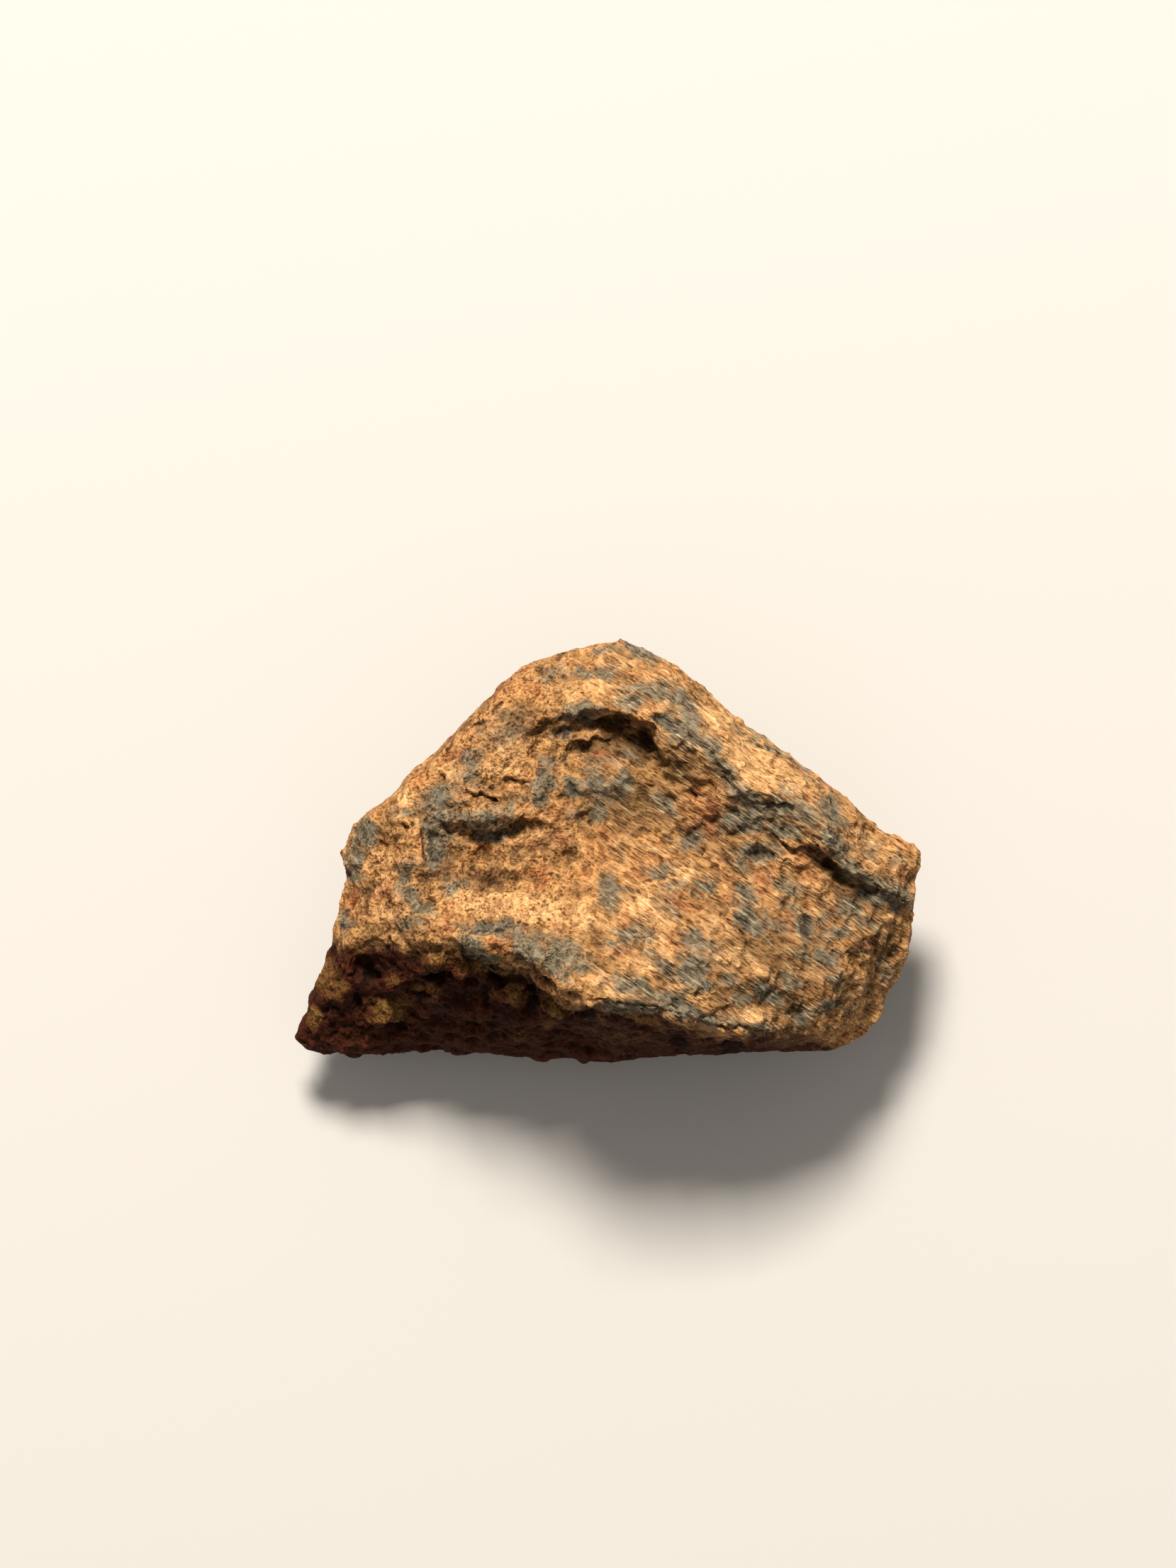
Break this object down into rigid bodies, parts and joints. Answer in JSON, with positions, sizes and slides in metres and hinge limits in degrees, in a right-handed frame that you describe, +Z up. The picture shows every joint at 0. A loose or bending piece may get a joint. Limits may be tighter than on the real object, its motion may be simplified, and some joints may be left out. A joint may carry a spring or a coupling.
{
  "type": "iron meteorite",
  "caption": "Small weathered iron meteorite fragment with a lumpy ridge, a ledge over a pit and a shallow hollow, lying on a small flat spot.",
  "frame": {"origin": "middle of the stone's box, on the surface that it rests on", "axes": "+X along its length (the picture's right), +Y across it (the picture's up), +Z up, out of the pictured face"},
  "size_m": [0.02, 0.0134, 0.0088],
  "materials": {
    "weathered_iron": "dull rust-brown and grey oxide skin over iron"
  },
  "bodies": {
    "root": {"meteorite": "weathered_iron"}
  },
  "joints": []
}
